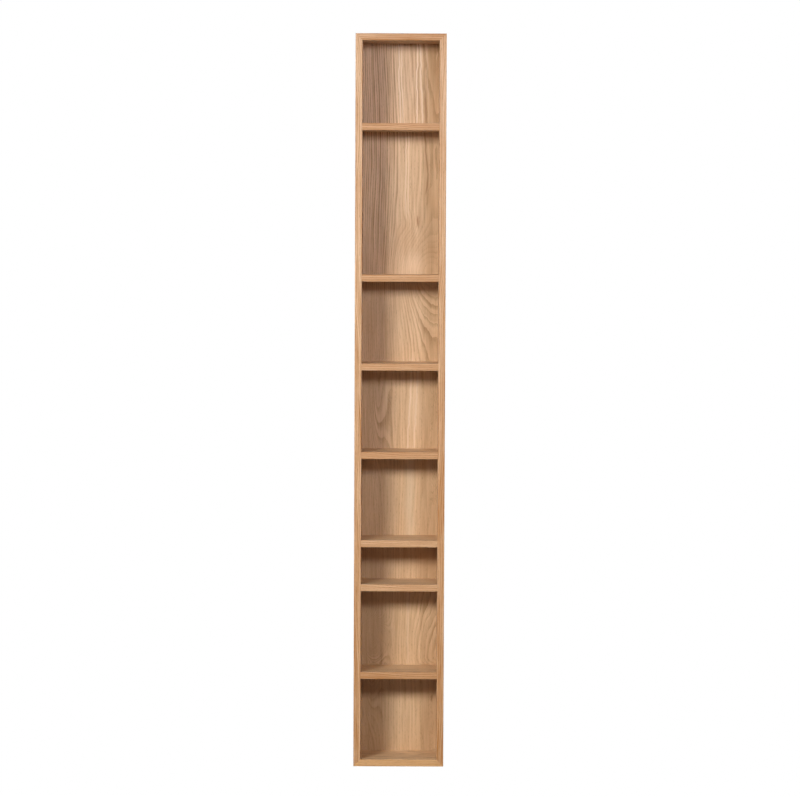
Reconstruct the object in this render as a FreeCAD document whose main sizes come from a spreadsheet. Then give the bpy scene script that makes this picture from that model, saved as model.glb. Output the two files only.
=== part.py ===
import FreeCAD, Part
import os
import Sketcher

# A tall, narrow, open wall cabinet in oak-veneered board. Four mitred boards make the frame,
# seven fixed shelves divide it, a thin back panel sits in a groove, and solid oak lippings
# cover the front edges. It hangs on two wall screws through keyhole plates behind its back.
#
# X is the width, Y points back to the wall, which is the plane y = 0, and Z is up.
# The origin lies on the wall, midway between the two keyholes.

# Driving dimensions in millimetres: name, size, what it measures
SIZES = (
    ("opening_width", 188, "clear width between the sides"),
    ("opening_depth", 123, "clear depth from the front edge to the back panel"),
    ("standard_opening", 200.5, "clear height of the six equal compartments"),
    ("tall_opening", 352, "clear height of the tall compartment"),
    ("small_opening", 92, "clear height of the small compartment"),
    ("board_thickness", 17, "frame boards and shelves, veneers included"),
    ("lipping_thickness", 2, "oak strip on every front edge"),
    ("arris_radius", 0.6, "easing of the front edges"),
    ("corner_radius", 1.5, "rounding of the frame's four outer corners"),
    ("back_thickness", 5, "veneered back panel"),
    ("back_recess", 12, "from the wall to the back panel, and the rail's thickness"),
    ("groove_depth", 6, "groove for the back panel"),
    ("groove_clearance", 0.1, "play on each face of the back panel"),
    ("panel_gap", 0.5, "room at each edge of the back panel"),
    ("spline_thickness", 4, "loose tongue in each mitre"),
    ("spline_width", 12, "across the mitre, half in each board"),
    ("spline_offset", 8, "from the inner corner to the middle of the tongue"),
    ("spline_inset", 8, "from the core's front edge, and from the back panel, to the slot"),
    ("spline_clearance", 0.1, "play around the tongue"),
    ("dowel_diameter", 8, "shelf dowels"),
    ("dowel_length", 30, "shelf and rail dowels"),
    ("dowel_side_depth", 11, "length of a dowel inside the side board"),
    ("dowel_inset", 30, "from the shelf's core edges to the dowels' axes"),
    ("dowel_chamfer", 0.8, "bevel on the dowels' ends"),
    ("dowel_clearance", 0.05, "glue film around a dowel"),
    ("hole_gap", 0.5, "room at the bottom of a blind hole"),
    ("rail_dowel_diameter", 6, "dowels that hold the hanging rail"),
    ("rail_dowel_inset", 7, "from the rail's edges to the dowels' axes"),
    ("rail_margin", 9, "rail above and below the hanger plates"),
    ("hanger_spacing", 100, "between the two keyholes"),
    ("plate_width", 26, "keyhole plate, with round ends"),
    ("plate_screw_spacing", 48, "between a plate's two screws"),
    ("plate_end", 7, "from a plate's screw to the end of the plate"),
    ("plate_land", 0.5, "plate left under the countersink"),
    ("plate_clearance", 0.1, "play around a plate in its recess"),
    ("keyhole_diameter", 10, "hole that takes the wall screw's head"),
    ("keyhole_slot_width", 5, "slot that takes the wall screw's shank"),
    ("keyhole_rise", 12, "from the middle of the hole to the top seat of the slot"),
    ("head_pocket_width", 13, "room for the wall screw's head behind the plate"),
    ("pocket_floor", 3, "rail left behind the head pocket"),
    ("plate_screw_diameter", 3.5, "countersunk screws of the plates"),
    ("plate_screw_head", 7, "diameter of their heads"),
    ("plate_screw_cover", 2, "rail left beyond their tips"),
    ("back_screw_diameter", 3, "round-head screws through the back into the shelves"),
    ("back_screw_length", 20, "under the head"),
    ("back_screw_head", 6, "diameter of their heads"),
    ("back_screw_head_height", 2.2, "height of their heads"),
    ("back_screw_dome", 1.5, "rounding of their heads"),
    ("back_screw_inset", 38, "from the sides' inner faces to the screws"),
    ("screw_clearance", 0.05, "play around a screw"),
    ("screw_point", 1, "bevel on a screw's tip"),
    ("driver_span", 3.2, "length of the cross recess in a screw head"),
    ("driver_width", 0.7, "width of its arms"),
    ("driver_depth", 1.1, "depth of its arms"),
)

LEFT, RIGHT = -1, 1
LOWER, UPPER = -1, 1
SIDE_NAMES = {LEFT: "left", RIGHT: "right"}
END_NAMES = {UPPER: "top", LOWER: "bottom"}

# How a sketch's constraints name a point of its geometry
START, END, CENTRE = range(1, 4)
SKETCH_ORIGIN = (-1, START)

doc = FreeCAD.newDocument("wall_cabinet")
sheet = doc.addObject("Spreadsheet::Sheet", "Sizes")
subparts = []


class size:
    """Each driving dimension as the text that an expression uses for it."""


for row, (name, millimetres, note) in enumerate(SIZES, start=1):
    sheet.set(f"A{row}", name)
    sheet.set(f"B{row}", str(millimetres))
    sheet.set(f"C{row}", note)
    sheet.setAlias(f"B{row}", name)
    setattr(size, name, f"Sizes.{name}")
doc.recompute()


# Clear heights of the compartments from the top down
OPENINGS = (
    size.standard_opening,
    size.tall_opening,
    size.standard_opening,
    size.standard_opening,
    size.standard_opening,
    size.small_opening,
    size.standard_opening,
    size.standard_opening,
)
SHELVES = range(1, len(OPENINGS))

# Places that several pieces share, as expressions
inner_x = f"({size.opening_width} / 2)"
outer_x = f"({inner_x} + {size.board_thickness})"
plate_half = f"({size.plate_screw_spacing} / 2 + {size.plate_end})"
ceiling = f"({plate_half} + {size.rail_margin})"
top = f"({ceiling} + {size.board_thickness})"
inside_height = f"({' + '.join(OPENINGS)} + {len(SHELVES)} * {size.board_thickness})"
floor = f"({ceiling} - {inside_height})"
bottom = f"({floor} - {size.board_thickness})"
panel_face = f"({size.back_recess} + {size.back_thickness})"
core_front = f"({panel_face} + {size.opening_depth} - {size.lipping_thickness})"
hanger_x = f"({size.hanger_spacing} / 2)"
plate_screw_z = f"({size.plate_screw_spacing} / 2)"
plate_arc_z = f"({plate_half} - {size.plate_width} / 2)"
plate_screw_head_height = f"(({size.plate_screw_head} - {size.plate_screw_diameter}) / 2)"
plate_thickness = f"({plate_screw_head_height} + {size.plate_land})"
plate_screw_length = f"({size.back_recess} - {size.plate_screw_cover})"
back_screw_x = f"({inner_x} - {size.back_screw_inset})"
dowel_shelf_depth = f"({size.dowel_length} - {size.dowel_side_depth})"
slot_start = f"({panel_face} + {size.spline_inset})"
slot_length = f"({core_front} - {size.spline_inset} - {slot_start})"


def shelf_top(shelf):
    """Height of a shelf's upper face. Shelf 1 is the highest."""
    clear_above = " + ".join(OPENINGS[:shelf])
    return f"({ceiling} - ({clear_above}) - {shelf - 1} * {size.board_thickness})"


def shelf_middle(shelf):
    return f"({shelf_top(shelf)} - {size.board_thickness} / 2)"


# Sketches, pads and pockets whose places are expressions


def number(expression):
    """The present value of an expression."""
    return float(sheet.evalExpression(expression))


def new_body(label):
    body = doc.addObject("PartDesign::Body", label)
    body.Label = label
    body.AllowCompound = True
    subparts.append(body)
    return body


def new_sketch(body, plane, offset):
    """A sketch parallel to one of the body's origin planes. On XZ_Plane its normal is -Y,
    so offset is the distance from the wall; on YZ_Plane offset is the place along X."""
    sketch = body.newObject("Sketcher::SketchObject", "Sketch")
    origin_plane = [p for p in body.Origin.OriginFeatures if p.Role == plane]
    sketch.AttachmentSupport = [(origin_plane[0], "")]
    sketch.MapMode = "FlatFace"
    sketch.setExpression("AttachmentOffset.Base.z", offset)
    return sketch


def dimension(sketch, kind, geometry, expression):
    """Adds a dimension to geometry, given as the constraint's elements, and binds it."""
    constraint = Sketcher.Constraint(kind, *geometry, number(expression))
    index = sketch.addConstraint(constraint)
    sketch.setExpression(f"Constraints[{index}]", expression)


def place(sketch, geometry, point, across, up):
    """Fixes a point of the geometry at these two distances from the sketch's origin."""
    dimension(sketch, "DistanceX", (*SKETCH_ORIGIN, geometry, point), across)
    dimension(sketch, "DistanceY", (*SKETCH_ORIGIN, geometry, point), up)


def join_ends(sketch, kind, first, count):
    """Joins each edge's end to the start of the next, all round a closed outline."""
    for i in range(count):
        following = first + (i + 1) % count
        ends = (first + i, END, following, START)
        sketch.addConstraint(Sketcher.Constraint(kind, *ends))


def draw_outline(sketch, corners):
    """A closed outline of straight lines through the corners."""
    points = [FreeCAD.Vector(number(across), number(up), 0) for across, up in corners]
    first = sketch.GeometryCount
    count = len(points)
    for i in range(count):
        sketch.addGeometry(Part.LineSegment(points[i], points[(i + 1) % count]))
    join_ends(sketch, "Coincident", first, count)
    for i, (across, up) in enumerate(corners):
        place(sketch, first + i, START, across, up)


def draw_rectangle(sketch, across, up):
    """A rectangle between two places across and two places up."""
    (left, right), (low, high) = across, up
    draw_outline(sketch, ((left, low), (right, low), (right, high), (left, high)))


def draw_circles(sketch, centres, diameter):
    for across, up in centres:
        centre = FreeCAD.Vector(number(across), number(up), 0)
        circle = Part.Circle(centre, FreeCAD.Vector(0, 0, 1), number(diameter) / 2)
        index = sketch.addGeometry(circle)
        place(sketch, index, CENTRE, across, up)
        dimension(sketch, "Diameter", (index,), diameter)


def draw_stadium(sketch, across, low, high, width):
    """An upright slot with round ends, whose arcs have their centres at low and high."""
    radius = number(width) / 2
    x, z_low, z_high = number(across), number(low), number(high)
    foot = [(x - radius, z_low), (x, z_low - radius), (x + radius, z_low)]
    head = [(x + radius, z_high), (x, z_high + radius), (x - radius, z_high)]
    foot, head = ([FreeCAD.Vector(*p, 0) for p in arc] for arc in (foot, head))
    edges = (
        Part.Arc(*foot),
        Part.LineSegment(foot[2], head[0]),
        Part.Arc(*head),
        Part.LineSegment(head[2], foot[0]),
    )
    first = sketch.GeometryCount
    for edge in edges:
        sketch.addGeometry(edge)
    join_ends(sketch, "Tangent", first, len(edges))
    foot_arc, head_arc = first, first + 2
    for arc, up in ((foot_arc, low), (head_arc, high)):
        place(sketch, arc, CENTRE, across, up)
        dimension(sketch, "Diameter", (arc,), width)


def pad(body, sketch, length, backwards=False):
    """Grows the sketch along its normal, or against it if backwards."""
    feature = body.newObject("PartDesign::Pad", "Pad")
    feature.Profile = sketch
    feature.setExpression("Length", length)
    feature.Reversed = backwards
    return feature


def pocket(body, sketch, length, along_normal):
    """Cuts the sketch along its normal, or against it."""
    feature = body.newObject("PartDesign::Pocket", "Pocket")
    feature.Profile = sketch
    feature.setExpression("Length", length)
    feature.Reversed = along_normal
    return feature


def dress(body, kind, base, wanted, property_name, expression):
    """Adds a Fillet or Chamfer to those edges of the base feature that are wanted."""
    doc.recompute()
    edges = enumerate(base.Shape.Edges, start=1)
    names = [f"Edge{i}" for i, edge in edges if wanted(edge)]
    feature = body.newObject(f"PartDesign::{kind}", kind)
    feature.Base = (base, names)
    feature.setExpression(property_name, expression)
    return feature


def is_circle_at(edge, axis, place_along, diameter):
    """True for a full circle of that diameter at that place along X or Y."""
    if not isinstance(edge.Curve, Part.Circle) or not edge.Closed:
        return False
    centre = getattr(edge.Curve.Center, axis)
    close = 1e-6
    same_size = abs(edge.Curve.Radius - number(diameter) / 2) < close
    return same_size and abs(centre - number(place_along)) < close


def clear(diameter, clearance):
    """The hole for a round piece."""
    return f"({diameter} + 2 * {clearance})"


# Frame: two sides, a top and a bottom, mitred at the four corners


def side_corners(side):
    outer, inner = f"{side} * {outer_x}", f"{side} * {inner_x}"
    return ((outer, bottom), (inner, floor), (inner, ceiling), (outer, top))


def end_corners(end):
    outer, inner = (top, ceiling) if end == UPPER else (bottom, floor)
    ends = (LEFT, RIGHT)
    return tuple((f"{s} * {outer_x}", outer) for s in ends) + tuple(
        (f"{s} * {inner_x}", inner) for s in reversed(ends)
    )


def draw_corner_waste(sketch, side, end):
    """What rounding takes off one outer corner of the frame: two straight edges and an arc."""
    corner_x, corner_z = f"{side} * {outer_x}", top if end == UPPER else bottom
    centre_x = f"{side} * ({outer_x} - {size.corner_radius})"
    centre_z = f"{corner_z} - {end} * {size.corner_radius}"
    corner = FreeCAD.Vector(number(corner_x), number(corner_z), 0)
    centre = FreeCAD.Vector(number(centre_x), number(centre_z), 0)
    radius = number(size.corner_radius)
    on_side = FreeCAD.Vector(corner.x, centre.y, 0)
    on_end = FreeCAD.Vector(centre.x, corner.y, 0)
    outwards = FreeCAD.Vector(side, end, 0).normalize()
    turns = (on_side, on_end) if side == end else (on_end, on_side)
    first = sketch.GeometryCount
    sketch.addGeometry(Part.Arc(turns[0], centre + outwards * radius, turns[1]))
    sketch.addGeometry(Part.LineSegment(turns[1], corner))
    sketch.addGeometry(Part.LineSegment(corner, turns[0]))
    for kind, ends in (
        ("Tangent", (first, END, first + 1, START)),
        ("Coincident", (first + 1, END, first + 2, START)),
        ("Tangent", (first + 2, END, first, START)),
    ):
        sketch.addConstraint(Sketcher.Constraint(kind, *ends))
    place(sketch, first, CENTRE, centre_x, centre_z)
    place(sketch, first + 2, START, corner_x, corner_z)
    dimension(sketch, "Radius", (first,), size.corner_radius)


def round_corners(body, corners):
    sketch = new_sketch(body, "XZ_Plane", "0")
    for side, end in corners:
        draw_corner_waste(sketch, side, end)
    return pocket(body, sketch, f"{core_front} + {size.lipping_thickness}", along_normal=True)


def cut_panel_groove(body):
    """The groove for the back panel. One rectangle serves all four boards."""
    sketch = new_sketch(body, "XZ_Plane", f"{size.back_recess} - {size.groove_clearance}")
    reach = f"({inner_x} + {size.groove_depth})"
    low, high = f"{floor} - {size.groove_depth}", f"{ceiling} + {size.groove_depth}"
    draw_rectangle(sketch, (f"-{reach}", reach), (low, high))
    width = f"{size.back_thickness} + 2 * {size.groove_clearance}"
    pocket(body, sketch, width, along_normal=True)


def draw_spline(sketch, side, end, clearance):
    """The section of the loose tongue, square to the mitre of one corner."""
    corner_z = ceiling if end == UPPER else floor
    half_thickness = f"({size.spline_thickness} / 2 + {clearance})"
    half_width = f"({size.spline_width} / 2 + {clearance})"
    corners = []
    for along_sign, across_sign in ((-1, -1), (1, -1), (1, 1), (-1, 1)):
        along = f"({size.spline_offset} + {along_sign} * {half_thickness})"
        across = f"({across_sign} * {half_width})"
        x = f"{side} * ({inner_x} + ({along} - {across}) / sqrt(2))"
        z = f"{corner_z} + {end} * ({along} + {across}) / sqrt(2)"
        corners.append((x, z))
    draw_outline(sketch, corners)


def cut_spline_slots(body, corners):
    sketch = new_sketch(body, "XZ_Plane", slot_start)
    for side, end in corners:
        draw_spline(sketch, side, end, size.spline_clearance)
    pocket(body, sketch, slot_length, along_normal=True)


def shelf_dowel_places(shelf):
    """Axes of the two dowels at a shelf's end, on a YZ sketch."""
    z = shelf_middle(shelf)
    front = f"-({core_front} - {size.dowel_inset})"
    rear = f"-({panel_face} + {size.dowel_inset})"
    return [(front, z), (rear, z)]


def all_shelf_dowel_places():
    return [axis for shelf in SHELVES for axis in shelf_dowel_places(shelf)]


def rail_dowel_places():
    y = f"-{size.back_recess} / 2"
    z = f"({ceiling} - {size.rail_dowel_inset})"
    return [(y, z), (y, f"-{z}")]


def drill_end_grain(body, side, places, diameter, depth, outwards):
    """Dowel holes at the plane where shelves and rail meet a side board."""
    sketch = new_sketch(body, "YZ_Plane", f"{side} * {inner_x}")
    draw_circles(sketch, places, clear(diameter, size.dowel_clearance))
    along_normal = (side == RIGHT) == outwards
    pocket(body, sketch, f"{depth} + {size.hole_gap}", along_normal)


def make_side(side):
    body = new_body(f"{SIDE_NAMES[side]}_side")
    sketch = new_sketch(body, "XZ_Plane", "0")
    draw_outline(sketch, side_corners(side))
    pad(body, sketch, core_front)
    corners = [(side, UPPER), (side, LOWER)]
    round_corners(body, corners)
    cut_panel_groove(body)
    cut_spline_slots(body, corners)
    for places, diameter in (
        (all_shelf_dowel_places(), size.dowel_diameter),
        (rail_dowel_places(), size.rail_dowel_diameter),
    ):
        drill_end_grain(body, side, places, diameter, size.dowel_side_depth, outwards=True)


def make_end(end):
    body = new_body(f"{END_NAMES[end]}_board")
    sketch = new_sketch(body, "XZ_Plane", "0")
    draw_outline(sketch, end_corners(end))
    pad(body, sketch, core_front)
    corners = [(LEFT, end), (RIGHT, end)]
    round_corners(body, corners)
    cut_panel_groove(body)
    cut_spline_slots(body, corners)


def make_spline(side, end):
    body = new_body(f"corner_spline_{END_NAMES[end]}_{SIDE_NAMES[side]}")
    sketch = new_sketch(body, "XZ_Plane", f"{slot_start} + {size.spline_clearance}")
    draw_spline(sketch, side, end, "0")
    pad(body, sketch, f"{slot_length} - 2 * {size.spline_clearance}")


# Shelves and their dowels


def make_shelf(shelf):
    body = new_body(f"shelf_{shelf}")
    upper = shelf_top(shelf)
    lower = f"{upper} - {size.board_thickness}"
    sketch = new_sketch(body, "XZ_Plane", panel_face)
    draw_rectangle(sketch, (f"-{inner_x}", inner_x), (lower, upper))
    pad(body, sketch, f"{core_front} - {panel_face}")
    for side in (LEFT, RIGHT):
        places = shelf_dowel_places(shelf)
        drill_end_grain(
            body, side, places, size.dowel_diameter, dowel_shelf_depth, outwards=False
        )
    pilots = new_sketch(body, "XZ_Plane", panel_face)
    hole = clear(size.back_screw_diameter, size.screw_clearance)
    draw_circles(pilots, back_screw_places(shelf), hole)
    depth = f"{size.back_screw_length} - {size.back_thickness} + {size.hole_gap}"
    pocket(body, pilots, depth, along_normal=True)


def make_dowels(label, sides, places, diameter):
    """Dowels that stand half in a side board and half in what it carries."""
    body = new_body(label)
    for side in sides:
        far_end = f"{side} * ({inner_x} + {size.dowel_side_depth})"
        near_end = f"{side} * ({inner_x} - {dowel_shelf_depth})"
        sketch = new_sketch(body, "YZ_Plane", far_end)
        draw_circles(sketch, places, diameter)
        rods = pad(body, sketch, size.dowel_length, backwards=side == RIGHT)
        dress(
            body,
            "Chamfer",
            rods,
            lambda edge: any(is_circle_at(edge, "x", x, diameter) for x in (far_end, near_end)),
            "Size",
            size.dowel_chamfer,
        )


# Back panel and the screws that hold the shelves to it


def back_screw_places(shelf):
    z = shelf_middle(shelf)
    return [(f"-{back_screw_x}", z), (back_screw_x, z)]


def all_back_screw_places():
    return [axis for shelf in SHELVES for axis in back_screw_places(shelf)]


def make_back_panel():
    body = new_body("back_panel")
    overlap = f"({size.groove_depth} - {size.panel_gap})"
    edge_x = f"({inner_x} + {overlap})"
    sketch = new_sketch(body, "XZ_Plane", size.back_recess)
    low, high = f"{floor} - {overlap}", f"{ceiling} + {overlap}"
    draw_rectangle(sketch, (f"-{edge_x}", edge_x), (low, high))
    pad(body, sketch, size.back_thickness)
    holes = new_sketch(body, "XZ_Plane", size.back_recess)
    draw_circles(
        holes, all_back_screw_places(), clear(size.back_screw_diameter, size.screw_clearance)
    )
    pocket(body, holes, size.back_thickness, along_normal=True)


def cut_driver_recess(body, places, head_face):
    """A cross in the head of each screw, cut forwards from the face nearest the wall."""
    half_span = f"{size.driver_span} / 2"
    half_width = f"{size.driver_width} / 2"
    for half_x, half_z in ((half_span, half_width), (half_width, half_span)):
        sketch = new_sketch(body, "XZ_Plane", head_face)
        for x, z in places:
            draw_rectangle(
                sketch,
                (f"{x} - {half_x}", f"{x} + {half_x}"),
                (f"{z} - {half_z}", f"{z} + {half_z}"),
            )
        pocket(body, sketch, size.driver_depth, along_normal=True)


def make_back_screws():
    """Round-head screws from behind, one pair for each shelf."""
    body = new_body("back_panel_screws")
    places = all_back_screw_places()
    shanks = new_sketch(body, "XZ_Plane", size.back_recess)
    draw_circles(shanks, places, size.back_screw_diameter)
    rods = pad(body, shanks, size.back_screw_length)
    tip = f"-({size.back_recess} + {size.back_screw_length})"
    dress(
        body,
        "Chamfer",
        rods,
        lambda edge: is_circle_at(edge, "y", tip, size.back_screw_diameter),
        "Size",
        size.screw_point,
    )
    heads = new_sketch(body, "XZ_Plane", size.back_recess)
    draw_circles(heads, places, size.back_screw_head)
    discs = pad(body, heads, size.back_screw_head_height, backwards=True)
    head_face = f"({size.back_recess} - {size.back_screw_head_height})"
    dress(
        body,
        "Fillet",
        discs,
        lambda edge: is_circle_at(edge, "y", f"-{head_face}", size.back_screw_head),
        "Radius",
        size.back_screw_dome,
    )
    cut_driver_recess(body, places, head_face)


# Lippings: a strip of solid oak on the front edge of every board


def make_lipping(label, outline, rounded_corners=()):
    """A strip with this front outline, its long front edges eased."""
    body = new_body(label)
    sketch = new_sketch(body, "XZ_Plane", core_front)
    draw_outline(sketch, outline)
    strip = pad(body, sketch, size.lipping_thickness)
    if rounded_corners:
        strip = round_corners(body, rounded_corners)
    front = -number(f"{core_front} + {size.lipping_thickness}")

    def is_long_front_edge(edge):
        at_front = all(abs(v.Point.y - front) < 1e-6 for v in edge.Vertexes)
        return at_front and edge.Length > number(f"2 * {size.board_thickness}")

    dress(body, "Fillet", strip, is_long_front_edge, "Radius", size.arris_radius)


def shelf_lipping_corners(shelf):
    upper = shelf_top(shelf)
    lower = f"{upper} - {size.board_thickness}"
    return (
        (f"-{inner_x}", lower),
        (inner_x, lower),
        (inner_x, upper),
        (f"-{inner_x}", upper),
    )


# Hanging rail behind the back, with two keyhole plates let into it


def plate_screw_places():
    return [
        (f"{side} * {hanger_x}", f"{end} * {plate_screw_z}")
        for side in (LEFT, RIGHT)
        for end in (UPPER, LOWER)
    ]


def make_hanging_rail():
    body = new_body("hanging_rail")
    sketch = new_sketch(body, "XZ_Plane", "0")
    draw_rectangle(sketch, (f"-{inner_x}", inner_x), (f"-{ceiling}", ceiling))
    pad(body, sketch, size.back_recess)

    recesses = new_sketch(body, "XZ_Plane", "0")
    width = clear(size.plate_width, size.plate_clearance)
    for side in (LEFT, RIGHT):
        draw_stadium(recesses, f"{side} * {hanger_x}", f"-{plate_arc_z}", plate_arc_z, width)
    pocket(body, recesses, plate_thickness, along_normal=True)

    head_pockets = new_sketch(body, "XZ_Plane", "0")
    for side in (LEFT, RIGHT):
        draw_stadium(
            head_pockets,
            f"{side} * {hanger_x}",
            "0",
            size.keyhole_rise,
            size.head_pocket_width,
        )
    pocket(body, head_pockets, f"{size.back_recess} - {size.pocket_floor}", along_normal=True)

    pilots = new_sketch(body, "XZ_Plane", "0")
    hole = clear(size.plate_screw_diameter, size.screw_clearance)
    draw_circles(pilots, plate_screw_places(), hole)
    pocket(body, pilots, f"{plate_screw_length} + {size.hole_gap}", along_normal=True)

    for side in (LEFT, RIGHT):
        drill_end_grain(
            body,
            side,
            rail_dowel_places(),
            size.rail_dowel_diameter,
            dowel_shelf_depth,
            outwards=False,
        )


def make_hanger_plate(side):
    body = new_body(f"{SIDE_NAMES[side]}_hanger_plate")
    x = f"{side} * {hanger_x}"
    sketch = new_sketch(body, "XZ_Plane", "0")
    draw_stadium(sketch, x, f"-{plate_arc_z}", plate_arc_z, size.plate_width)
    pad(body, sketch, plate_thickness)

    entry = new_sketch(body, "XZ_Plane", "0")
    draw_circles(entry, [(x, "0")], size.keyhole_diameter)
    pocket(body, entry, plate_thickness, along_normal=True)
    slot = new_sketch(body, "XZ_Plane", "0")
    draw_stadium(slot, x, "0", size.keyhole_rise, size.keyhole_slot_width)
    pocket(body, slot, plate_thickness, along_normal=True)

    holes = new_sketch(body, "XZ_Plane", "0")
    hole = clear(size.plate_screw_diameter, size.screw_clearance)
    draw_circles(holes, [(x, plate_screw_z), (x, f"-{plate_screw_z}")], hole)
    drilled = pocket(body, holes, plate_thickness, along_normal=True)
    dress(
        body,
        "Chamfer",
        drilled,
        lambda edge: is_circle_at(edge, "y", "0", hole),
        "Size",
        plate_screw_head_height,
    )


def make_hanger_screws():
    """Countersunk screws, flush with the plates."""
    body = new_body("hanger_screws")
    places = plate_screw_places()
    shanks = new_sketch(body, "XZ_Plane", "0")
    draw_circles(shanks, places, size.plate_screw_diameter)
    rods = pad(body, shanks, plate_screw_length)
    dress(
        body,
        "Chamfer",
        rods,
        lambda edge: is_circle_at(
            edge, "y", f"-{plate_screw_length}", size.plate_screw_diameter
        ),
        "Size",
        size.screw_point,
    )
    heads = new_sketch(body, "XZ_Plane", "0")
    draw_circles(heads, places, size.plate_screw_head)
    cones = pad(body, heads, plate_screw_head_height)
    cones.TaperAngle = -45
    cut_driver_recess(body, places, "0")


for side in (LEFT, RIGHT):
    make_side(side)
for end in (UPPER, LOWER):
    make_end(end)
for end in (UPPER, LOWER):
    for side in (LEFT, RIGHT):
        make_spline(side, end)
for shelf in SHELVES:
    make_shelf(shelf)
for side in (LEFT, RIGHT):
    label = f"{SIDE_NAMES[side]}_shelf_dowels"
    make_dowels(label, [side], all_shelf_dowel_places(), size.dowel_diameter)
make_back_panel()
make_back_screws()
make_hanging_rail()
make_dowels("rail_dowels", [LEFT, RIGHT], rail_dowel_places(), size.rail_dowel_diameter)
for side in (LEFT, RIGHT):
    make_hanger_plate(side)
make_hanger_screws()
for side in (LEFT, RIGHT):
    corners = [(side, UPPER), (side, LOWER)]
    make_lipping(f"{SIDE_NAMES[side]}_side_lipping", side_corners(side), corners)
for end in (UPPER, LOWER):
    corners = [(LEFT, end), (RIGHT, end)]
    make_lipping(f"{END_NAMES[end]}_lipping", end_corners(end), corners)
for shelf in SHELVES:
    make_lipping(f"shelf_{shelf}_lipping", shelf_lipping_corners(shelf))

doc.recompute()
for item in doc.Objects:
    if "Invalid" in item.State or "Error" in item.State:
        raise RuntimeError(f"{item.Label} failed to compute: {item.State}")
for body in subparts:
    if body.Shape.isNull() or not body.Shape.isValid():
        raise RuntimeError(f"{body.Label} has no valid shape")

os.makedirs("parts", exist_ok=True)
for body in subparts:
    body.Shape.exportStep(f"parts/{body.Label}.step")
    box = body.Shape.BoundBox
    extent = " x ".join(f"{length:.1f}" for length in (box.XLength, box.YLength, box.ZLength))
    print(f"{body.Label}: {len(body.Shape.Solids)} solid(s), {extent} mm")
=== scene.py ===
import math
import bpy
from mathutils import Matrix, Vector


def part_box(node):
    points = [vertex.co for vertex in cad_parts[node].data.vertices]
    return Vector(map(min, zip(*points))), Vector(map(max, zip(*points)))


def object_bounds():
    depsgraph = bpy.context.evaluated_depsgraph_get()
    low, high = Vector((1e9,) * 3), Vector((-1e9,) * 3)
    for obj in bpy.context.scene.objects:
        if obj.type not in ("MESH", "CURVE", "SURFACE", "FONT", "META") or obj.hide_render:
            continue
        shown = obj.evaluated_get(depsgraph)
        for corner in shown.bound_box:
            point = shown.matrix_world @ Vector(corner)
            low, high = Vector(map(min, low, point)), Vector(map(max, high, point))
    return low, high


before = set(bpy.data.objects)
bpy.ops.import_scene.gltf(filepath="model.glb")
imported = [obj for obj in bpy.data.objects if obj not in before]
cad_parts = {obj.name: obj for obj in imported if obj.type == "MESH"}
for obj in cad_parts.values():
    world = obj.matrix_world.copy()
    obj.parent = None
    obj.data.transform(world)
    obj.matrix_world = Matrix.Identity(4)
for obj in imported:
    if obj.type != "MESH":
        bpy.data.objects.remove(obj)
cad_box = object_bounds()

# Frame: two sides, a top and a bottom of particle board with oak veneer on both faces, mitred,
# glued and lacquered to a satin. The veneer's grain runs along each board, and the raw core
# shows only on the rear edges, which face the wall.

OAK_PALE = (0.780, 0.545, 0.350, 1)
OAK_DARK = (0.395, 0.222, 0.110, 1)
PORE = (0.10, 0.055, 0.028, 1)
CHIP_PALE = (0.56, 0.40, 0.23, 1)
CHIP_DARK = (0.33, 0.21, 0.11, 1)
CHIPS_PER_METRE = 420
CORE_ADDED_ROUGHNESS = 0.4
VENEER_THICKNESS = 0.0006
VENEER_RELIEF = 0.00012
REAR_SKIN = 0.0004
SATIN_SHINE = 0.15
BUMP_STRENGTH = 0.6
NOISE_ROUGHNESS = 0.6


def add_node(tree, kind, inputs=None, **options):
    """Adds a shader node. Options are its own settings, and inputs maps a socket's name or
    number to a value or to the output that feeds it."""
    node = tree.nodes.new(kind)
    for option, value in options.items():
        setattr(node, option, value)
    for socket, source in (inputs or {}).items():
        if isinstance(source, bpy.types.NodeSocket):
            tree.links.new(source, node.inputs[socket])
        else:
            node.inputs[socket].default_value = source
    return node


def calc(tree, operation, *values):
    """The result of one Math node."""
    inputs = dict(enumerate(values))
    return add_node(tree, "ShaderNodeMath", inputs, operation=operation).outputs[0]


def step(tree, value, start, end):
    """0 before start, 1 after end and smooth between them. Start may lie above end."""
    inputs = {"Value": value, "From Min": start, "From Max": end}
    node = add_node(tree, "ShaderNodeMapRange", inputs, interpolation_type="SMOOTHSTEP")
    return node.outputs[0]


def blend(tree, share, first, second):
    """Two colours mixed, with this share of the second."""
    inputs = {0: share, 6: first, 7: second}
    return add_node(tree, "ShaderNodeMix", inputs, data_type="RGBA").outputs[2]


def in_cells(tree, place, across, along):
    """A place counted in cells this many metres across and along the grain."""
    inputs = {0: place, 1: (1 / across, 1 / across, 1 / along)}
    return add_node(tree, "ShaderNodeVectorMath", inputs, operation="MULTIPLY").outputs[0]


def grain_noise(tree, place, across, along, detail):
    """Noise from 0 to 1 in cells this many metres across and along the grain."""
    inputs = {"Vector": in_cells(tree, place, across, along), "Scale": 1}
    inputs.update({"Detail": detail, "Roughness": NOISE_ROUGHNESS})
    return add_node(tree, "ShaderNodeTexNoise", inputs).outputs[0]


def line_noise(tree, place, shift, detail):
    """Noise from 0 to 1 along one number."""
    inputs = {"W": calc(tree, "ADD", place, shift), "Scale": 1}
    inputs.update({"Detail": detail, "Roughness": NOISE_ROUGHNESS})
    return add_node(tree, "ShaderNodeTexNoise", inputs, noise_dimensions="1D").outputs[0]


def full_swing(tree, noise):
    """Noise spread out so that its middle half fills the range from 0 to 1."""
    return step(tree, noise, start=0.25, end=0.75)


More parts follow.
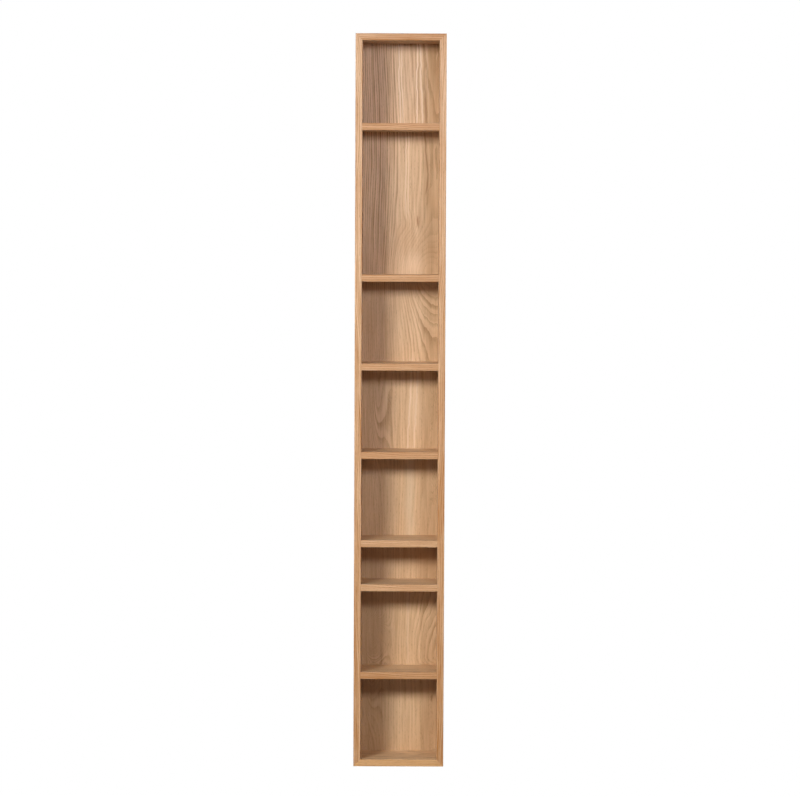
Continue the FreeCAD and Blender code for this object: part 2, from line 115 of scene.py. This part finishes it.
def make_oak_figure():
    """Wood cut along the log. Place is measured from the log's heart: X across the face, Y down
    into the log and Z along the grain. Spacing is the width of a growth ring, Waver how far the
    heart wanders, Ripple how unevenly the rings run, and Swelling adds rings where a burr or a
    branch pushed out. Shade is the mean tone between pale and dark, Contrast how far it swings,
    and Lines the strength of the rings."""
    tree = bpy.data.node_groups.new("oak_figure", "ShaderNodeTree")
    for name, way, kind in (
        ("Place", "INPUT", "NodeSocketVector"),
        ("Swelling", "INPUT", "NodeSocketFloat"),
        ("Spacing", "INPUT", "NodeSocketFloat"),
        ("Waver", "INPUT", "NodeSocketFloat"),
        ("Ripple", "INPUT", "NodeSocketFloat"),
        ("Shade", "INPUT", "NodeSocketFloat"),
        ("Contrast", "INPUT", "NodeSocketFloat"),
        ("Lines", "INPUT", "NodeSocketFloat"),
        ("Pores", "INPUT", "NodeSocketFloat"),
        ("Pale", "INPUT", "NodeSocketColor"),
        ("Dark", "INPUT", "NodeSocketColor"),
        ("Colour", "OUTPUT", "NodeSocketColor"),
        ("Roughness", "OUTPUT", "NodeSocketFloat"),
        ("Height", "OUTPUT", "NodeSocketFloat"),
    ):
        tree.interface.new_socket(name, in_out=way, socket_type=kind)
    given = tree.nodes.new("NodeGroupInput").outputs
    result = tree.nodes.new("NodeGroupOutput").inputs
    place = given["Place"]

    # Growth rings, counted out from a heart that wanders along the log
    bends_per_metre = 2.6
    noise_shift = 14.3
    tones_per_ring = 0.9
    x, y, z = add_node(tree, "ShaderNodeSeparateXYZ", {0: place}).outputs
    along = calc(tree, "MULTIPLY", z, bends_per_metre)
    offsets = {}
    for number, part in enumerate((x, y)):
        noise = line_noise(tree, along, shift=noise_shift * number, detail=1)
        wander = calc(tree, "SUBTRACT", noise, 0.5)
        offsets[number] = calc(tree, "MULTIPLY_ADD", wander, given["Waver"], part)
    from_heart = add_node(tree, "ShaderNodeCombineXYZ", offsets).outputs[0]
    radius = add_node(
        tree, "ShaderNodeVectorMath", {0: from_heart}, operation="LENGTH"
    ).outputs["Value"]
    rings = calc(tree, "ADD", calc(tree, "DIVIDE", radius, given["Spacing"]), given["Swelling"])
    for across, length, reach in ((0.030, 0.22, 2.4), (0.012, 0.06, 0.7)):
        ripple = calc(tree, "SUBTRACT", grain_noise(tree, place, across, length, detail=2), 0.5)
        ripple = calc(tree, "MULTIPLY", ripple, given["Ripple"])
        rings = calc(tree, "MULTIPLY_ADD", ripple, reach, rings)
    tones = calc(tree, "MULTIPLY", rings, tones_per_ring)
    ring_tone = full_swing(tree, line_noise(tree, tones, shift=0, detail=2))
    early_wood = step(tree, calc(tree, "FRACT", rings), start=0.6, end=0)

    # Long streaks, short flecks and fibres along the grain, and clouds of tone over the board
    streaks = full_swing(tree, grain_noise(tree, place, across=0.009, along=0.45, detail=3))
    flecks = full_swing(tree, grain_noise(tree, place, across=0.0042, along=0.09, detail=2))
    fibres = grain_noise(tree, place, across=0.0016, along=0.045, detail=3)
    clouds = grain_noise(tree, place, across=0.055, along=0.35, detail=2)
    ring_contrast = calc(tree, "MULTIPLY", given["Contrast"], given["Lines"])
    darkness = given["Shade"]
    for part, weight, contrast in (
        (ring_tone, 0.42, ring_contrast),
        (early_wood, 0.48, ring_contrast),
        (streaks, 0.35, given["Contrast"]),
        (flecks, 0.45, given["Contrast"]),
        (fibres, 0.60, given["Contrast"]),
        (clouds, 0.40, given["Contrast"]),
    ):
        swing = calc(tree, "MULTIPLY", calc(tree, "SUBTRACT", part, 0.5), weight)
        darkness = calc(tree, "MULTIPLY_ADD", swing, contrast, darkness)
    colour = blend(tree, calc(tree, "MAXIMUM", darkness, 0), given["Pale"], given["Dark"])

    # Pores: open vessels, short dark dashes that crowd in the early wood of each ring
    late_wood_pores = 0.2
    pore_depth_of_tone = 0.55
    dashes = in_cells(tree, place, across=0.0008, along=0.012)
    cells = add_node(tree, "ShaderNodeTexVoronoi", {"Vector": dashes, "Scale": 1})
    pores = step(tree, cells.outputs["Distance"], start=0.34, end=0.20)
    crowd = calc(tree, "MULTIPLY_ADD", early_wood, 1 - late_wood_pores, late_wood_pores)
    pores = calc(tree, "MULTIPLY", calc(tree, "MULTIPLY", pores, crowd), given["Pores"])
    pore_colour = blend(tree, pore_depth_of_tone, given["Dark"], PORE)
    tree.links.new(blend(tree, pores, colour, pore_colour), result["Colour"])

    # Roughness, and the height that the bump reads: fibres stand up, early wood and pores sink
    smoothest = 0.36
    fibre_roughness = 0.14
    pore_roughness = 0.2
    fibre_height = 0.3
    early_wood_height = -0.15
    pore_height = -0.8
    roughness = calc(tree, "MULTIPLY_ADD", fibres, fibre_roughness, smoothest)
    roughness = calc(tree, "MULTIPLY_ADD", pores, pore_roughness, roughness)
    tree.links.new(roughness, result["Roughness"])
    height = calc(tree, "MULTIPLY", fibres, fibre_height)
    height = calc(tree, "MULTIPLY_ADD", early_wood, early_wood_height, height)
    height = calc(tree, "MULTIPLY_ADD", pores, pore_height, height)
    tree.links.new(height, result["Height"])
    return tree


oak_figure = make_oak_figure()


def new_material(name):
    """A material with a Principled shader, and its node tree."""
    material = bpy.data.materials.new(name)
    material.use_nodes = True
    return material, material.node_tree


def object_place(tree):
    """The place on the piece in the frame's own metres, as three numbers by axis."""
    coordinates = add_node(tree, "ShaderNodeTexCoord").outputs["Object"]
    numbers = add_node(tree, "ShaderNodeSeparateXYZ", {0: coordinates}).outputs
    return dict(zip("xyz", numbers))


def wood(tree, across, depth, along, heart, **figure):
    """The figure on a board with these axes, cut from a log whose heart is at heart."""
    place = add_node(tree, "ShaderNodeCombineXYZ", {0: across, 1: depth, 2: along}).outputs[0]
    inputs = {"Vector": place, "Location": [-part for part in heart]}
    settings = {
        "Place": add_node(tree, "ShaderNodeMapping", inputs).outputs[0],
        "Spacing": 0.0056,
        "Waver": 0.03,
        "Ripple": 1.0,
        "Shade": 0.45,
        "Contrast": 1.0,
        "Lines": 0.6,
        "Pores": 0.75,
        "Pale": OAK_PALE,
        "Dark": OAK_DARK,
    }
    settings.update(figure)
    return add_node(tree, "ShaderNodeGroup", settings, node_tree=oak_figure).outputs


def lay_on(tree, colour, roughness, height, relief):
    """Feeds the material's shader. Relief is the depth of the bump in metres."""
    shader = tree.nodes["Principled BSDF"]
    inputs = {"Height": height, "Strength": BUMP_STRENGTH, "Distance": relief}
    bump = add_node(tree, "ShaderNodeBump", inputs)
    tree.links.new(colour, shader.inputs["Base Color"])
    tree.links.new(roughness, shader.inputs["Roughness"])
    tree.links.new(bump.outputs[0], shader.inputs["Normal"])
    shader.inputs["Specular IOR Level"].default_value = SATIN_SHINE


def put_on(node, material):
    """Gives a CAD node its material."""
    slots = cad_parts[node].data.materials
    slots.clear()
    slots.append(material)


def frame_board(node, thickness_axis, grain_axis, heart, shade):
    """One board of the frame, with its raw core on the rear edge."""
    material, tree = new_material(f"oak_{node}")
    place = object_place(tree)
    axes = place["y"], place[thickness_axis], place[grain_axis]
    veneer = wood(tree, *axes, heart, Shade=shade)

    low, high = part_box(node)
    under = getattr(low, thickness_axis) + VENEER_THICKNESS
    over = getattr(high, thickness_axis) - VENEER_THICKNESS
    from_under = calc(tree, "SUBTRACT", place[thickness_axis], under)
    from_over = calc(tree, "SUBTRACT", over, place[thickness_axis])
    inside = calc(tree, "GREATER_THAN", calc(tree, "MINIMUM", from_under, from_over), 0)
    at_rear = calc(tree, "GREATER_THAN", place["y"], high.y - REAR_SKIN)
    core = calc(tree, "MULTIPLY", inside, at_rear)

    coordinates = add_node(tree, "ShaderNodeTexCoord").outputs["Object"]
    inputs = {"Vector": coordinates, "Scale": CHIPS_PER_METRE}
    chips = add_node(tree, "ShaderNodeTexVoronoi", inputs)
    chip_tone = add_node(tree, "ShaderNodeSeparateColor", {0: chips.outputs["Color"]})
    particle = blend(tree, chip_tone.outputs[0], CHIP_PALE, CHIP_DARK)
    colour = blend(tree, core, veneer["Colour"], particle)
    roughness = calc(tree, "MULTIPLY_ADD", core, CORE_ADDED_ROUGHNESS, veneer["Roughness"])
    lay_on(tree, colour, roughness, veneer["Height"], VENEER_RELIEF)
    put_on(node, material)


frame_board("left_side", "x", "z", heart=(-0.075, -0.250, 0.2), shade=0.52)
frame_board("right_side", "x", "z", heart=(-0.060, 0.255, 1.3), shade=0.52)
frame_board("top_board", "z", "x", heart=(-0.090, 0.180, 0.4), shade=0.56)
frame_board("bottom_board", "z", "x", heart=(-0.050, -1.900, 0.4), shade=0.30)

# Joinery: loose tongues of beech plywood in the mitres, and beech dowels at the ends of the shelves
# and of the hanging rail. All of them are glued in and hidden once the cabinet is closed.

BEECH_PALE = (0.72, 0.53, 0.36, 1)
BEECH_DARK = (0.55, 0.37, 0.22, 1)
SOLID_RELIEF = 0.0001


def joinery_wood(node, grain_axis):
    """One set of dowels or one tongue, in close-grained beech with few pores."""
    material, tree = new_material(f"beech_{node}")
    place = object_place(tree)
    across, depth = (place[axis] for axis in "xyz" if axis != grain_axis)
    beech = wood(
        tree,
        across,
        depth,
        place[grain_axis],
        heart=(0.03, 0.02, 0),
        Contrast=0.5,
        Pores=0.2,
        Pale=BEECH_PALE,
        Dark=BEECH_DARK,
    )
    lay_on(tree, beech["Colour"], beech["Roughness"], beech["Height"], SOLID_RELIEF)
    put_on(node, material)


for end in ("top", "bottom"):
    for side in ("left", "right"):
        joinery_wood(f"corner_spline_{end}_{side}", "y")
for dowels in ("left_shelf_dowels", "right_shelf_dowels", "rail_dowels"):
    joinery_wood(dowels, "x")

# Shelves: the same veneered board, dowelled between the sides, with the grain from side to
# side. Each is cut from another part of the sheet, so no two have the same figure.

SHELVES = range(1, 8)
SHELF_BOARD_SHADE = 0.31
SHELF_HEART_ACROSS = -0.03
SHELF_HEART_DEPTH = 0.12
SHIFT_ACROSS = -0.02
SHIFT_ALONG = 0.8


def shelf_board(shelf):
    """One shelf. The heart of its log shifts with the shelf's number."""
    node = f"shelf_{shelf}"
    material, tree = new_material(f"oak_{node}")
    place = object_place(tree)
    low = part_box(node)[0]
    heart_across = SHELF_HEART_ACROSS + SHIFT_ACROSS * shelf
    heart = (heart_across, low.z - SHELF_HEART_DEPTH, SHIFT_ALONG * shelf)
    veneer = wood(tree, place["y"], place["z"], place["x"], heart, Shade=SHELF_BOARD_SHADE)
    lay_on(tree, veneer["Colour"], veneer["Roughness"], veneer["Height"], VENEER_RELIEF)
    put_on(node, material)


for shelf in SHELVES:
    shelf_board(shelf)

# Back panel: one thin board with plain-cut oak veneer, its grain upright, let into a groove all
# round. The log's heart lay under the right edge, so the rings are fine lines on the left and a
# broad figure on the right, with peaks and eyes where the log swelled. Its rear is a plain sheet.

BACK_HEART = 0.094
BACK_DEPTH = 0.130
BACK_SPACING = 0.0042
BACK_CONTRAST = 0.62
UPPER_ADDED_CONTRAST = 0.40
CONTRAST_STARTS = 1.10
CONTRAST_FULL = 1.40
PLAIN_LINES = 0.38
SWELLINGS = (
    # across from the middle, up from the foot, half width, reach down, reach up, rings pushed out
    (0.066, 1.217, 0.080, 0.100, 0.070, -7.0),
    (0.020, 1.335, 0.024, 0.030, 0.030, 2.0),
    (-0.062, 0.985, 0.030, 0.250, 0.010, -10.0),
    (-0.070, 0.310, 0.030, 0.070, 0.030, -24.0),
    (0.130, 0.255, 0.090, 0.030, 0.150, -6.0),
    (-0.075, 0.225, 0.026, 0.150, 0.010, -9.0),
)
CLEAR_LINES = (
    # across from the middle, up from the cabinet's foot, half width, reach down, reach up, strength
    (-0.070, 1.480, 0.060, 0.250, 0.400, 1.5),
    (0.090, 1.560, 0.030, 0.150, 0.300, 1.0),
    (0.060, 1.110, 0.045, 0.130, 0.060, 1.9),
    (-0.050, 0.860, 0.040, 0.100, 0.090, 0.8),
    (0.075, 0.350, 0.035, 0.090, 0.080, 1.2),
    (-0.066, 0.252, 0.026, 0.030, 0.012, 1.2),
    (-0.065, 0.090, 0.030, 0.060, 0.060, 0.30),
)
# Patch colours: umber and russet serve both as tones of the wood and as painted shade.
RUSSET = (0.52, 0.30, 0.16, 1)
UMBER = (0.40, 0.28, 0.19, 1)
CREAM = (0.84, 0.62, 0.44, 1)
SILVERY = (0.62, 0.47, 0.36, 1)
TONE_AND_SHADE_PATCHES = (
    # across from the middle, up from the cabinet's foot, half width, half height, colour, strength
    (0.016, 1.690, 0.038, 0.110, SILVERY, 0.25),
    (-0.006, 1.300, 0.020, 0.300, SILVERY, 0.14),
    (0.085, 1.660, 0.020, 0.120, RUSSET, 0.40),
    (0.078, 1.735, 0.014, 0.050, RUSSET, 0.30),
    # painted shade: darker far left near the foot of the first and second compartments, in the left
    # side's shadow
    (-0.092, 1.600, 0.018, 0.060, UMBER, 0.25),
    (-0.092, 1.250, 0.018, 0.070, UMBER, 0.25),
    (0.082, 1.430, 0.026, 0.330, CREAM, 0.27),
    (0.078, 1.275, 0.028, 0.045, RUSSET, 0.25),
    (0.005, 1.310, 0.022, 0.045, RUSSET, 0.35),
    (0.080, 1.390, 0.022, 0.045, RUSSET, 0.35),
    (0.028, 1.280, 0.045, 0.250, UMBER, 0.21),
    (0.032, 1.235, 0.030, 0.030, CREAM, 0.38),
    (0.038, 1.100, 0.022, 0.080, UMBER, 0.12),
    # painted shade: darker, warmer left of the third compartment, in the left side's shadow
    (-0.075, 1.100, 0.040, 0.080, RUSSET, 0.16),
    (0.039, 0.880, 0.018, 0.080, CREAM, 0.32),
    (-0.070, 0.760, 0.045, 0.170, CREAM, 0.10),
    # painted shade: darker stripes along the edge of the left side's shadow in the fifth, sixth and
    # eighth compartments
    (-0.023, 0.590, 0.014, 0.150, UMBER, 0.22),
    (-0.021, 0.110, 0.016, 0.090, UMBER, 0.25),
    # painted shade: the sixth compartment, shaded by the shelf above, darker across its width and
    # more so at the right
    (0.000, 0.500, 0.200, 0.050, UMBER, 0.26),
    (0.080, 0.500, 0.050, 0.050, RUSSET, 0.50),
    # painted shade: darker left of the seventh and eighth compartments, in the left side's shadow
    (-0.080, 0.250, 0.035, 0.250, UMBER, 0.20),
    # paler tone in the middle of the eighth compartment, partly painted light on the shade under
    # shelf 7
    (0.010, 0.110, 0.030, 0.090, CREAM, 0.14),
    (0.090, 0.110, 0.035, 0.120, RUSSET, 0.40),
)
PALE_STREAK = (0.83, 0.65, 0.49, 1)
STRAW_STREAK = (0.66, 0.52, 0.37, 1)
DARK_STREAK = (0.36, 0.19, 0.10, 1)
STREAKS = (
    # across at its lower end, lean to the left, half width, lower end, upper end, colour, strength
    (0.000, 0.03, 0.0023, 1.57, 1.80, PALE_STREAK, 0.85),
    (0.006, 0.03, 0.0020, 1.57, 1.80, PALE_STREAK, 0.60),
    (0.040, 0.00, 0.0022, 1.57, 1.80, PALE_STREAK, 0.95),
    (0.044, 0.00, 0.0018, 1.61, 1.80, DARK_STREAK, 0.40),
    (0.055, 0.04, 0.0036, 1.57, 1.80, PALE_STREAK, 0.85),
    (0.064, 0.04, 0.0046, 1.57, 1.80, DARK_STREAK, 0.50),
    (0.071, 0.04, 0.0026, 1.57, 1.80, PALE_STREAK, 0.40),
    (0.013, 0.00, 0.0022, 1.36, 1.57, PALE_STREAK, 0.60),
    (0.019, 0.00, 0.0022, 1.36, 1.57, PALE_STREAK, 0.50),
    (0.0675, 0.08, 0.0036, 1.452, 1.570, DARK_STREAK, 0.80),
    (0.0635, -0.10, 0.0036, 1.412, 1.455, DARK_STREAK, 0.80),
    (0.0435, 0.12, 0.0036, 1.332, 1.356, DARK_STREAK, 1.00),
    (0.018, -0.05, 0.0040, 0.75, 1.00, PALE_STREAK, 0.42),
    (0.034, -0.05, 0.0040, 0.75, 1.00, PALE_STREAK, 0.36),
    (0.026, 0.00, 0.0200, 0.54, 0.77, STRAW_STREAK, 0.45),
    (0.022, 0.00, 0.0060, 0.22, 0.45, PALE_STREAK, 0.20),
    (0.084, 0.00, 0.0036, 0.142, 0.158, DARK_STREAK, 1.00),
)
STREAK_BENDS_PER_METRE = 18
STREAK_SWAY = 0.006
STREAK_FADE = 0.03
BACKING = (0.56, 0.39, 0.245, 1)
BACKING_SHARE = 0.7
BACKING_ADDED_ROUGHNESS = 0.2


def hump(tree, place, centre, half_width, reaches):
    """1 at the centre, falling off smoothly across the panel and over these reaches down and up."""
    across, height = place
    risen = calc(tree, "SUBTRACT", height, centre[1])
    total = 0.0
    for away, reach in (
        (calc(tree, "SUBTRACT", across, centre[0]), half_width),
        (calc(tree, "MINIMUM", risen, 0), reaches[0]),
        (calc(tree, "MAXIMUM", risen, 0), reaches[1]),
    ):
        total = calc(tree, "ADD", calc(tree, "POWER", calc(tree, "DIVIDE", away, reach), 2), total)
    return calc(tree, "EXPONENT", calc(tree, "MULTIPLY", total, -1))


def back_panel_material():
    """The veneer's figure, then its patches of other tones and of painted shade, its streaks, and
    the plain rear.
    """
    material, tree = new_material("oak_back_panel")
    place = object_place(tree)
    across = place["x"]
    height = calc(tree, "SUBTRACT", place["z"], cad_box[0].z)

    swelling = 0.0
    for bulge_across, up, half_width, down, above, push in SWELLINGS:
        bulge = hump(tree, (across, height), (bulge_across, up), half_width, (down, above))
        swelling = calc(tree, "MULTIPLY_ADD", bulge, push, swelling)
    lines = PLAIN_LINES
    for zone_across, up, half_width, down, above, strength in CLEAR_LINES:
        zone = hump(tree, (across, height), (zone_across, up), half_width, (down, above))
        lines = calc(tree, "MULTIPLY_ADD", zone, strength, lines)
    upper = step(tree, height, CONTRAST_STARTS, CONTRAST_FULL)
    veneer = wood(
        tree,
        across,
        BACK_DEPTH,
        place["z"],
        heart=(BACK_HEART, 0, 0),
        Swelling=swelling,
        Spacing=BACK_SPACING,
        Waver=0.012,
        Ripple=0.6,
        Contrast=calc(tree, "MULTIPLY_ADD", upper, UPPER_ADDED_CONTRAST, BACK_CONTRAST),
        Lines=lines,
    )

    colour = veneer["Colour"]
    # Patches over the figure: tones of the wood, and painted shade at the left of several
    # compartments and in the sixth
    for patch_across, up, half_width, half_height, tone, strength in TONE_AND_SHADE_PATCHES:
        reaches = half_height, half_height
        patch = hump(tree, (across, height), (patch_across, up), half_width, reaches)
        colour = blend(tree, calc(tree, "MULTIPLY", patch, strength), colour, tone)
    bends = calc(tree, "MULTIPLY", height, STREAK_BENDS_PER_METRE)
    sway = calc(tree, "SUBTRACT", line_noise(tree, bends, shift=3, detail=2), 0.5)
    for foot_across, lean, half_width, foot, head, tone, strength in STREAKS:
        risen = calc(tree, "SUBTRACT", height, foot)
        middle = calc(tree, "MULTIPLY_ADD", risen, -lean, foot_across)
        middle = calc(tree, "MULTIPLY_ADD", sway, STREAK_SWAY, middle)
        away = calc(tree, "ABSOLUTE", calc(tree, "SUBTRACT", across, middle))
        soft = min(STREAK_FADE, (head - foot) / 3)
        above = step(tree, height, foot - soft, foot + soft)
        below = step(tree, height, head + soft, head - soft)
        streak = calc(tree, "MULTIPLY", step(tree, away, half_width, 0), above)
        streak = calc(tree, "MULTIPLY", calc(tree, "MULTIPLY", streak, below), strength)
        colour = blend(tree, streak, colour, tone)
    rear = calc(tree, "GREATER_THAN", place["y"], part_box("back_panel")[1].y - REAR_SKIN)
    colour = blend(tree, calc(tree, "MULTIPLY", rear, BACKING_SHARE), colour, BACKING)
    roughness = calc(tree, "MULTIPLY_ADD", rear, BACKING_ADDED_ROUGHNESS, veneer["Roughness"])
    lay_on(tree, colour, roughness, veneer["Height"], VENEER_RELIEF)
    put_on("back_panel", material)


back_panel_material()

# Screws and keyhole plates: steel with a thin bright zinc coat. The plates are stamped and let
# into the rail flush, and the screws are turned down into them and into the shelves' rear edges.

ZINC_DARK = (0.34, 0.35, 0.37, 1)
ZINC_PALE = (0.58, 0.59, 0.60, 1)
ZINC_SPOTS_PER_METRE = 260
ZINC_ROUGHNESS = 0.32
SPOT_ADDED_ROUGHNESS = 0.2
ZINC_RELIEF = 0.00003


def zinc_material(name):
    """Metal with a fine mottle in its tone and roughness."""
    material, tree = new_material(name)
    coordinates = add_node(tree, "ShaderNodeTexCoord").outputs["Object"]
    inputs = {"Vector": coordinates, "Scale": ZINC_SPOTS_PER_METRE, "Detail": 3}
    mottle = add_node(tree, "ShaderNodeTexNoise", inputs).outputs[0]
    colour = blend(tree, mottle, ZINC_DARK, ZINC_PALE)
    roughness = calc(tree, "MULTIPLY_ADD", mottle, SPOT_ADDED_ROUGHNESS, ZINC_ROUGHNESS)
    lay_on(tree, colour, roughness, mottle, ZINC_RELIEF)
    tree.nodes["Principled BSDF"].inputs["Metallic"].default_value = 1
    return material


zinc = zinc_material("zinc_plated_steel")
for fitting in ("back_panel_screws", "left_hanger_plate", "right_hanger_plate", "hanger_screws"):
    put_on(fitting, zinc)

# Hanging rail: a planed softwood batten, dowelled between the sides behind the back panel. It is
# left raw, with narrow rings and no open pores.

SOFTWOOD_PALE = (0.78, 0.62, 0.42, 1)
SOFTWOOD_DARK = (0.60, 0.40, 0.21, 1)


def rail_material():
    """Raw wood with its grain from side to side."""
    material, tree = new_material("raw_softwood_rail")
    place = object_place(tree)
    softwood = wood(
        tree,
        place["z"],
        place["y"],
        place["x"],
        heart=(0.02, 0.06, 0.3),
        Spacing=0.0035,
        Pores=0.0,
        Pale=SOFTWOOD_PALE,
        Dark=SOFTWOOD_DARK,
    )
    lay_on(tree, softwood["Colour"], softwood["Roughness"], softwood["Height"], SOLID_RELIEF)
    put_on("hanging_rail", material)


rail_material()

# Lippings: strips of solid oak glued to the front edges of the frame and the shelves, with
# straight, fine grain along each strip and their long edges eased with sandpaper. The strips
# of the sides grow darker downwards.

LIPPING_PALE = (0.800, 0.520, 0.325, 1)
LIPPING_DARK = (0.430, 0.155, 0.030, 1)
BOTTOM_PALE = (0.850, 0.520, 0.270, 1)
BOTTOM_HEART = (-1.95, 0.02, 1.5)
SHELF_SHADES = (0.60, 0.54, 0.50, 0.59, 0.41, 0.41, 0.65)
STRIP_HEART_BELOW = 0.18
STRIP_HEART_DEPTH = 0.04
STRIP_SHIFT_ALONG = 0.6


def lipping(node, across_axis, grain_axis, heart, shades, contrast, slant=0.0, pale=LIPPING_PALE):
    """One strip. Its shades are those at its lower or left end and at its other end."""
    material, tree = new_material(f"oak_{node}")
    place = object_place(tree)
    low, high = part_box(node)
    across = calc(tree, "MULTIPLY_ADD", place[grain_axis], slant, place[across_axis])
    ends = getattr(low, grain_axis), getattr(high, grain_axis)
    inputs = {"Value": place[grain_axis], "From Min": ends[0], "From Max": ends[1]}
    inputs.update({"To Min": shades[0], "To Max": shades[1]})
    oak = wood(
        tree,
        across,
        place["y"],
        place[grain_axis],
        heart,
        Spacing=0.0036,
        Waver=0.02,
        Ripple=0.35,
        Shade=add_node(tree, "ShaderNodeMapRange", inputs).outputs[0],
        Contrast=contrast,
        Lines=0.8,
        Pale=pale,
        Dark=LIPPING_DARK,
    )
    lay_on(tree, oak["Colour"], oak["Roughness"], oak["Height"], SOLID_RELIEF)
    put_on(node, material)


lipping("left_side_lipping", "x", "z", (-0.30, 0.05, 0.1), (0.66, 0.24), contrast=0.9, slant=0.02)
lipping("right_side_lipping", "x", "z", (0.28, 0.03, 0.7), (0.69, 0.33), contrast=0.8, slant=-0.01)
lipping("top_lipping", "z", "x", (0.30, 0.05, 0.5), (0.60, 0.60), contrast=0.8)
lipping("bottom_lipping", "z", "x", BOTTOM_HEART, (0.30, 0.30), contrast=0.5, pale=BOTTOM_PALE)
for shelf, shade in zip(SHELVES, SHELF_SHADES):
    node = f"shelf_{shelf}_lipping"
    heart_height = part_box(node)[0].z - STRIP_HEART_BELOW
    heart = (heart_height, STRIP_HEART_DEPTH, STRIP_SHIFT_ALONG * shelf)
    lipping(node, "z", "x", heart, (shade, shade), contrast=0.55)

# Studio: a pale floor below the hung cabinet that fades into a white surround and is clear from
# below, and a large soft lamp high in front on the left. Two small ones on the right fill in, a
# cool one aimed at the top and a warm one at the foot. The surround also lights the rear.

low, high = cad_box
front = low.y
FLOOR_DROP = 0.35
FLOOR_REAR = 1.2
FLOOR_FRONT = -6.0
FLOOR_HALF_WIDTH = 5.0
FLOOR_GREY = (0.20, 0.20, 0.20, 1)
FLOOR_ROUGHNESS = 0.8
WHITE = (1, 1, 1, 1)
NEAR_GLOW = 0.76
GLOW_RISE = 0.24
FADE_STARTS = 0.3
FADE_ENDS = 1.15
REAR_LIGHT = 0.9
REAR_LIGHT_FULL = 0.25
FILL_PLACE = (1.25, front - 3.7, high.z + 0.30)
FILL_WIDTH = 0.8
FILL_HEIGHT = 0.6
FILL_SPREAD = 90

bpy.ops.object.select_all(action="DESELECT")
bpy.ops.mesh.primitive_plane_add(size=1)
floor = bpy.context.object
floor.name = "studio_floor"
floor.data.transform(
    Matrix.Translation((0, (FLOOR_FRONT + FLOOR_REAR) / 2, low.z - FLOOR_DROP))
    @ Matrix.Diagonal((2 * FLOOR_HALF_WIDTH, FLOOR_REAR - FLOOR_FRONT, 1, 1))
)
floor_material, tree = new_material("pale_floor")
shader = tree.nodes["Principled BSDF"]
shader.inputs["Base Color"].default_value = FLOOR_GREY
shader.inputs["Roughness"].default_value = FLOOR_ROUGHNESS
shader.inputs["Emission Color"].default_value = WHITE
sight = add_node(tree, "ShaderNodeLightPath").outputs
place = object_place(tree)
squares = calc(tree, "POWER", place["x"], 2), calc(tree, "POWER", place["y"], 2)
distance = calc(tree, "SQRT", calc(tree, "ADD", *squares))
fade = step(tree, distance, FADE_STARTS, FADE_ENDS)
glow = calc(tree, "MULTIPLY_ADD", fade, GLOW_RISE, NEAR_GLOW)
glow = calc(tree, "MULTIPLY", sight["Is Camera Ray"], glow)
tree.links.new(glow, shader.inputs["Emission Strength"])
from_below = add_node(tree, "ShaderNodeNewGeometry").outputs["Backfacing"]
clear = add_node(tree, "ShaderNodeBsdfTransparent").outputs[0]
one_sided = add_node(tree, "ShaderNodeMixShader", {0: from_below, 1: shader.outputs[0], 2: clear})
tree.links.new(one_sided.outputs[0], tree.nodes["Material Output"].inputs["Surface"])
floor.data.materials.append(floor_material)

world = bpy.data.worlds.new("white_surround")
world.use_nodes = True
bpy.context.scene.world = world
tree = world.node_tree
surround = tree.nodes["Background"]
surround.inputs["Color"].default_value = WHITE
sight = add_node(tree, "ShaderNodeLightPath").outputs
seen = calc(tree, "MAXIMUM", sight["Is Camera Ray"], sight["Is Glossy Ray"])
seen = calc(tree, "MAXIMUM", seen, sight["Is Transmission Ray"])
direction = add_node(tree, "ShaderNodeTexCoord").outputs["Generated"]
from_rear = add_node(tree, "ShaderNodeSeparateXYZ", {0: direction}).outputs[1]
rear_light = calc(tree, "MULTIPLY", step(tree, from_rear, 0, REAR_LIGHT_FULL), REAR_LIGHT)
strength = calc(tree, "MAXIMUM", seen, rear_light)
tree.links.new(strength, surround.inputs["Strength"])


def soft_lamp(name, place, aim, width, height, power, colour, spread):
    """A flat lamp at place that faces aim, with its power in watts and its spread in degrees."""
    lamp = bpy.data.lights.new(name, "AREA")
    lamp.shape = "RECTANGLE"
    lamp.size = width
    lamp.size_y = height
    lamp.energy = power
    lamp.color = colour
    lamp.spread = math.radians(spread)
    stand = bpy.data.objects.new(name, lamp)
    bpy.context.scene.collection.objects.link(stand)
    stand.location = place
    stand.rotation_euler = (Vector(aim) - Vector(place)).to_track_quat("-Z", "Y").to_euler()


soft_lamp(
    "key_lamp",
    place=(-2.55, front - 4.1, high.z + 0.50),
    aim=(0, front, low.z + 0.3),
    width=1.4,
    height=0.82,
    power=79,
    colour=(1.0, 0.993, 0.912),
    spread=120,
)
soft_lamp(
    "cool_fill_lamp",
    place=FILL_PLACE,
    aim=(0, front, high.z),
    width=FILL_WIDTH,
    height=FILL_HEIGHT,
    power=15.6,
    colour=(0.69, 0.74, 0.95),
    spread=FILL_SPREAD,
)
soft_lamp(
    "warm_fill_lamp",
    place=FILL_PLACE,
    aim=(0, front, low.z),
    width=FILL_WIDTH,
    height=FILL_HEIGHT,
    power=4.7,
    colour=(1.0, 0.83, 0.30),
    spread=FILL_SPREAD,
)

# Camera: far off with a long lens, above the cabinet's middle, looking slightly down, and turned
# by about a quarter of a degree, as in the photograph.

CAMERA_DISTANCE = 6.881
CAMERA_ACROSS = 0.0006
CAMERA_HEIGHT = 1.3296
PITCH = -0.06135
ROLL = 0.0041
LENS = 126.6
SENSOR_WIDTH = 36

camera = bpy.data.objects.new("camera", bpy.data.cameras.new("camera"))
bpy.context.scene.collection.objects.link(camera)
camera.data.lens = LENS
camera.data.sensor_width = SENSOR_WIDTH
camera.matrix_world = (
    Matrix.Translation((CAMERA_ACROSS, front - CAMERA_DISTANCE, low.z + CAMERA_HEIGHT))
    @ Matrix.Rotation(math.pi / 2 + PITCH, 4, "X")
    @ Matrix.Rotation(ROLL, 4, "Z")
)
bpy.context.scene.camera = camera
bpy.context.scene.view_settings.view_transform = "Standard"
